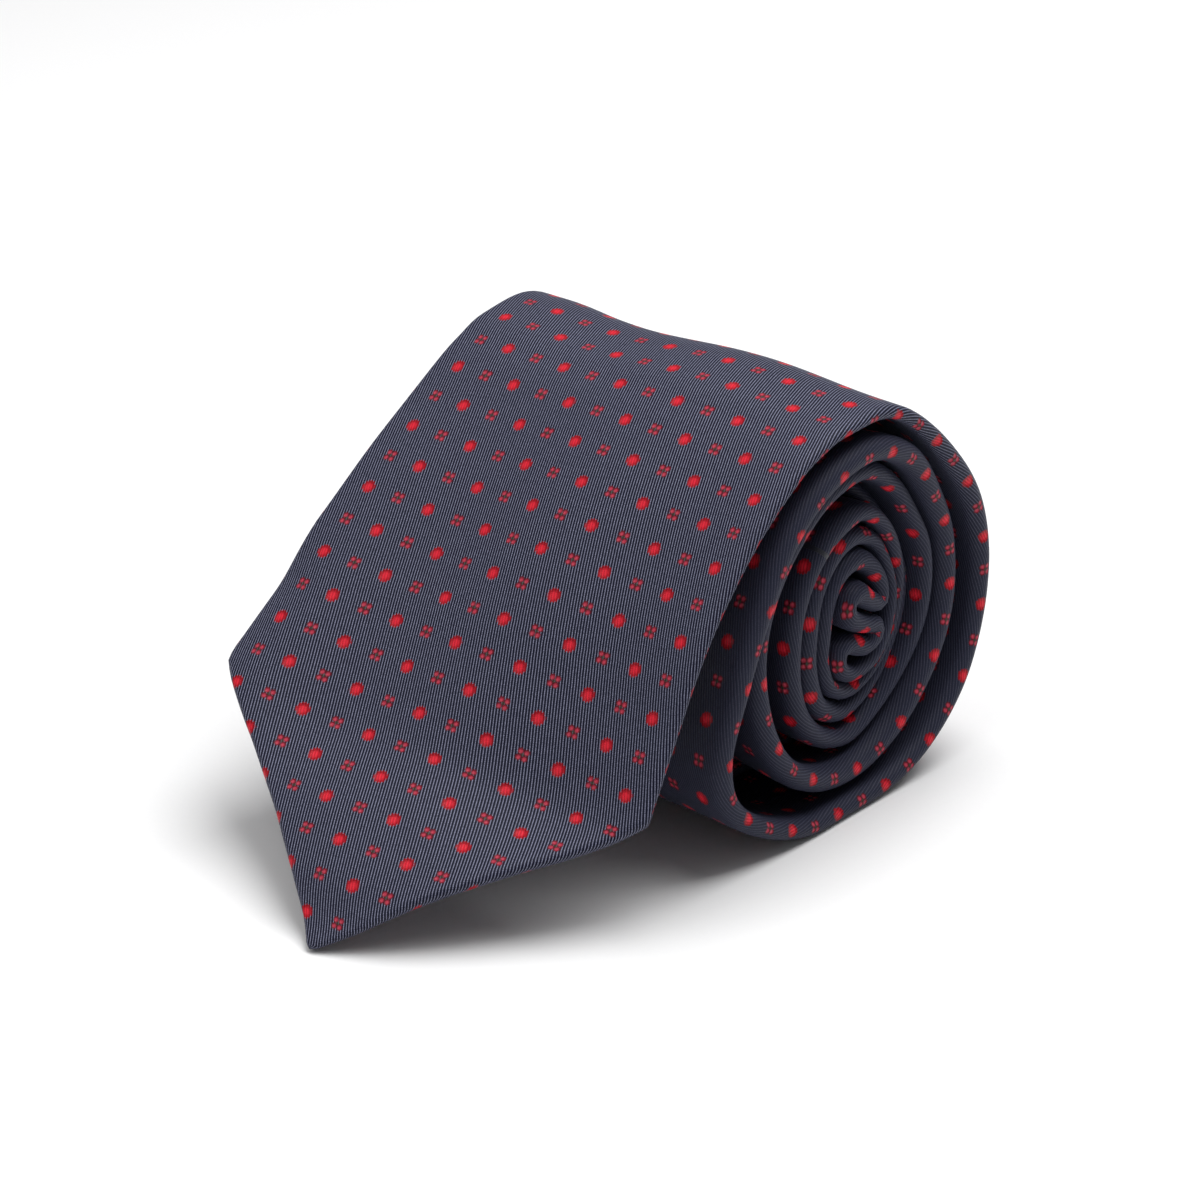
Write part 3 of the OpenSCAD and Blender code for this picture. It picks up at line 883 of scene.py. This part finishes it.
def keeper():
    """The loop of folded silk across the back, with a turned edge on each side."""
    sewn_end, slope, clear, pressed = 4.5, 2.5, 0.36, 0.24
    cloth, plumpness, rounding = 0.34, 0.12, 1.2
    s = stations(KEEPER_AT, KEEPER_AT + KEEPER_W, 1.0)
    c = mid_x(s)
    cross = np.linspace(-KEEPER_L / 2, KEEPER_L / 2, 25)
    ends = smooth((np.abs(cross) - KEEPER_L / 2 + sewn_end) / slope)
    edge = np.clip(np.minimum(s - s[0], s[-1] - s) / rounding, 0, 1)
    plump = plumpness * np.sqrt(edge)[:, None]
    top = -half_t(s)[:, None] - clear + pressed * ends[None, :]
    xs = c[:, None] + cross[None, :]
    s_col = s[:, None] + 0 * xs
    near = place(s_col, xs, top)
    far = place(s_col, xs, top - cloth - plump)
    grid = np.concatenate([far, near[:, ::-1]], axis=1)
    uv = np.stack([np.concatenate([xs, xs[:, ::-1]], axis=1) * 0.7 + s_col[:, :1],
                   np.concatenate([s_col, s_col], axis=1) + 3.0], axis=-1)
    rows, wide = grid.shape[:2]
    faces = ring_faces(rows, wide)
    last = (rows - 1) * wide
    for j in range(len(cross) - 1):
        faces.append((j, j + 1, wide - 2 - j, wide - 1 - j))
        faces.append((last + wide - 1 - j, last + wide - 2 - j, last + j + 1, last + j))
    obj = new_object("keeper_band", grid.reshape(-1, 3), faces, uv.reshape(-1, 2), silk)
    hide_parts("keeper_loop")
    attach(obj, "roll")


keeper()


def running_stitches(name, lines, node, below, pitch, long, body="roll"):
    """Rows of short machine stitches, each a small arch of thread."""
    paths = []
    for s_at, x_at in lines:
        s_at, x_at = np.asarray(s_at, float), np.asarray(x_at, float)
        run = np.concatenate([[0], np.cumsum(np.hypot(np.diff(s_at), np.diff(x_at)))])
        for start in np.arange(0.2, run[-1] - long, pitch):
            t = start + np.linspace(0, long, 5)
            lift = 0.02 + 0.1 * np.sin(np.linspace(0, math.pi, 5))
            s = np.interp(t, run, s_at)
            x = np.interp(t, run, x_at)
            paths.append(place(s, x, -half_t(s) - below - lift))
    obj = tubes(name, paths, 0.1, thread)
    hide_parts(node)
    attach(obj, body)


def across(at, side, reach):
    """A line of stitches along the tie, at x = side times reach from its middle."""
    s = np.linspace(at[0], at[1], 12)
    return s, mid_x(s) + side * reach


running_stitches("keeper_thread",
                 [across((KEEPER_AT + 0.6, KEEPER_AT + KEEPER_W - 0.6), e, KEEPER_L / 2 - d)
                  for e in (-1, 1) for d in (0.8, 1.9)],
                 "keeper_loop_stitches", 0.62, 1.3, 0.95)


def flat_patch(name, at, long, wide, node, material, raised):
    """A blank label, laid on the back of the tie and following it."""
    s = stations(at, at + wide, 1.5)
    a, c = half_t(s), mid_x(s)
    obj = strip(name, s, c - long / 2, c + long / 2, -a - raised, -a - 0.04, material, cross=16)
    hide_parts(node)
    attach(obj, "roll")


flat_patch("label_patch", LABEL_AT, LABEL_L, LABEL_W, "label_blank", label_cloth, 0.3)
flat_patch("care_patch", TIE_L - TAIL_TACK - 34, 16.0, 12.0, "care_label", care_cloth,
           0.16)
running_stitches("label_thread",
                 [across((LABEL_AT + 1, LABEL_AT + LABEL_W - 1), e, LABEL_L / 2 - 1.2)
                  for e in (-1, 1)],
                 "label_stitches", 0.3, 1.7, 1.25)


SEAM_HALF = 0.38


def seam(name, at, node):
    """A sewn join: a narrow band in the thread's colour that fills the gap in the silk."""
    obj = silk_length(name, at - SEAM_HALF, at + SEAM_HALF, thread_cloth, (0, 0),
                      SEAM_HALF / 2)[0]
    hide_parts(node)
    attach(obj, "roll")


thread_cloth = woven_material("seam_thread", (0.004, 0.005, 0.01, 1), (0.016, 0.018, 0.03, 1),
                              2.2, 0.00004, 0.5, 0.1)
seam("seam_blade_neck", BLADE_SEAM, "blade_neck_seam")
seam("seam_neck_tail", TAIL_SEAM, "neck_tail_seam")

# ---------------------------------------------------------------- floor, light and air

FLOOR_HALF = 3000.0
floor = new_object("floor", [(-FLOOR_HALF, -FLOOR_HALF, 0), (FLOOR_HALF, -FLOOR_HALF, 0),
                             (FLOOR_HALF, FLOOR_HALF, 0), (-FLOOR_HALF, FLOOR_HALF, 0)],
                   [(0, 1, 2, 3)], None, floor_material())

world = bpy.data.worlds.new("studio")
bpy.context.scene.world = world
world.use_nodes = True
world.node_tree.nodes["Background"].inputs[0].default_value = (1.0, 1.0, 1.0, 1)
world.node_tree.nodes["Background"].inputs[1].default_value = 0.19


def soft_box(name, place_at, towards, size, power):
    data = bpy.data.lights.new(name, "AREA")
    data.shape = "RECTANGLE"
    data.size, data.size_y = size
    data.energy = power
    obj = bpy.data.objects.new(name, data)
    obj.location = place_at
    aim(obj, tuple(b - a for a, b in zip(place_at, towards)))
    bpy.context.collection.objects.link(obj)


LIT_POINT = (0, 0, 0.03)
soft_box("key_light", (0.1, 0.34, 1.05), LIT_POINT, (0.85, 0.85), 12.8)
soft_box("front_light", (-0.2, -0.6, 1.05), LIT_POINT, (0.9, 0.9), 4.2)

bpy.context.scene.view_settings.view_transform = "Standard"
